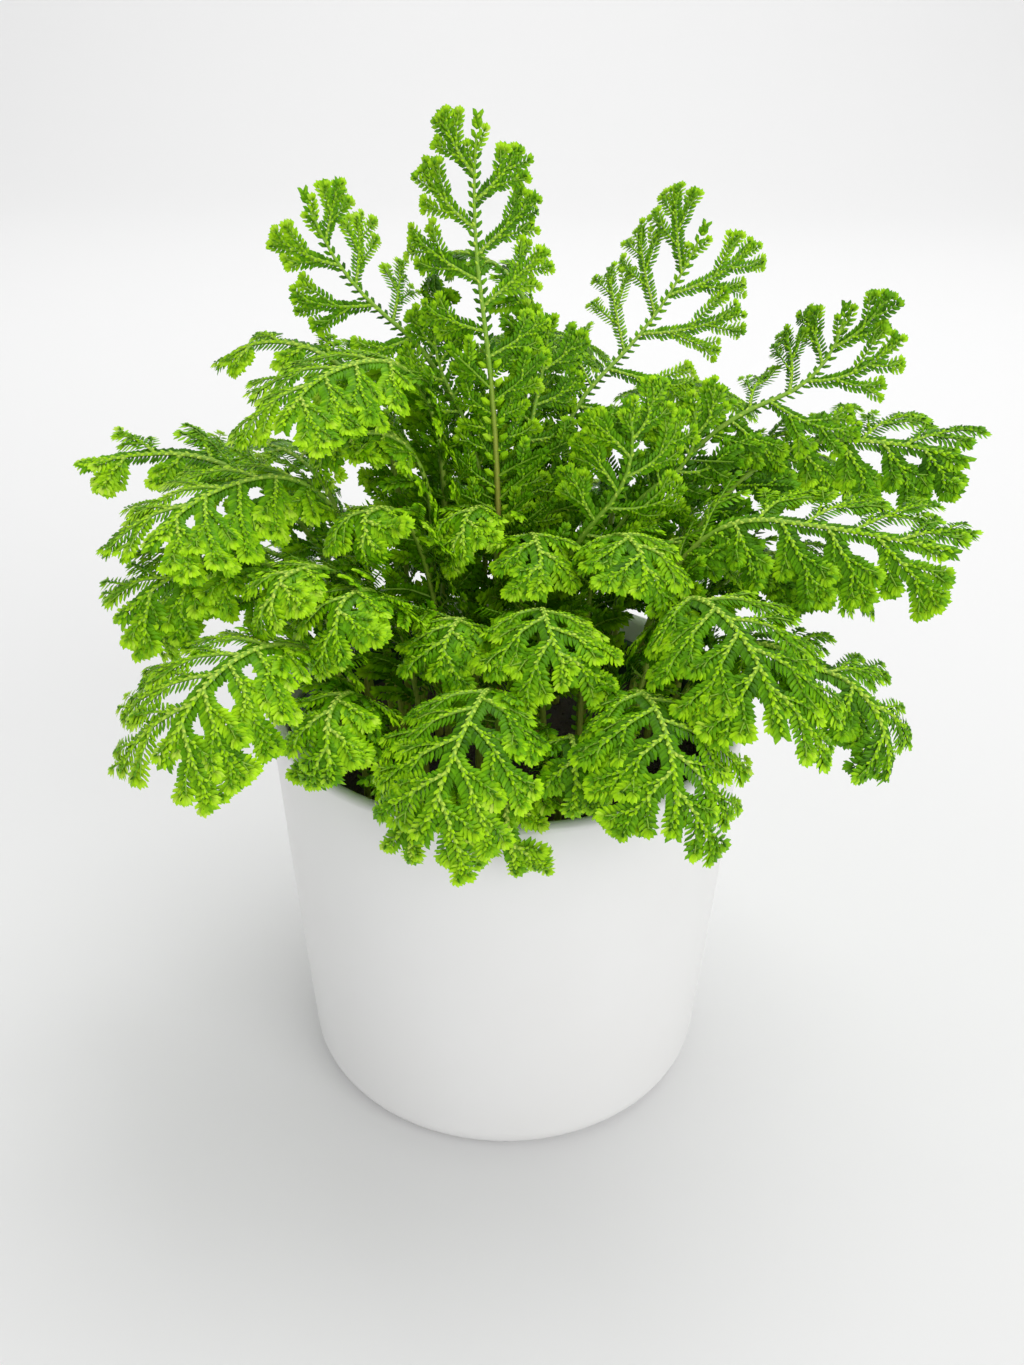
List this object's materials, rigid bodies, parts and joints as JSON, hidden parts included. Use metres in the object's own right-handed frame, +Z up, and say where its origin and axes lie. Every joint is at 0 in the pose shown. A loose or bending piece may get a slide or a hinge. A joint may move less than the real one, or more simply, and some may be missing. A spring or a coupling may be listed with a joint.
{
  "type": "potted spikemoss",
  "caption": "Bushy spikemoss with flat forking leafy sprays, growing in a nursery pot set inside a plain white tapered pot.",
  "frame": {"origin": "centre of the white pot's flat underside, on the surface it stands on", "axes": "+Z up, -Y towards the viewer of the picture, +X to the viewer's right"},
  "size_m": [0.2103, 0.1757, 0.2427],
  "materials": {
    "white_pot": "smooth white satin glaze",
    "nursery_pot": "dark green moulded plastic",
    "soil": "dark crumbly peat soil",
    "foliage": "fresh green small leaves with a soft sheen"
  },
  "bodies": {
    "root": {"nursery_pot": "nursery_pot", "soil": "soil", "spray_arch_back": "foliage", "spray_back_centre": "foliage", "spray_back_left": "foliage", "spray_back_right": "foliage", "spray_drip_front": "foliage", "spray_drip_front_left": "foliage", "spray_drip_front_right": "foliage", "spray_drip_left": "foliage", "spray_far_left": "foliage", "spray_front_centre": "foliage", "spray_front_left_high": "foliage", "spray_front_left_low": "foliage", "spray_front_left_middle": "foliage", "spray_front_right": "foliage", "spray_front_right_inner": "foliage", "spray_high_far_right": "foliage", "spray_high_left": "foliage", "spray_high_right": "foliage", "spray_inner_back": "foliage", "spray_inner_centre": "foliage", "spray_inner_front": "foliage", "spray_inner_left": "foliage", "spray_inner_right": "foliage", "spray_long_right": "foliage", "spray_low_back_left": "foliage", "spray_low_back_right": "foliage", "spray_low_left": "foliage", "spray_low_right": "foliage", "spray_low_side_left": "foliage", "spray_low_side_right": "foliage", "spray_mid_back_left": "foliage", "spray_mid_back_right": "foliage", "spray_middle_left": "foliage", "spray_middle_left_back": "foliage", "spray_middle_right": "foliage", "spray_rim_far_right": "foliage", "spray_rim_left": "foliage", "spray_side_back_left": "foliage", "spray_side_back_right": "foliage", "spray_side_right": "foliage", "spray_small_far_left": "foliage", "spray_tall_centre": "foliage", "spray_under_left": "foliage", "spray_under_right": "foliage", "spray_upright_back_right": "foliage", "spray_upright_front": "foliage", "spray_upright_left": "foliage", "spray_upright_right": "foliage", "white_pot": "white_pot"}
  },
  "joints": []
}
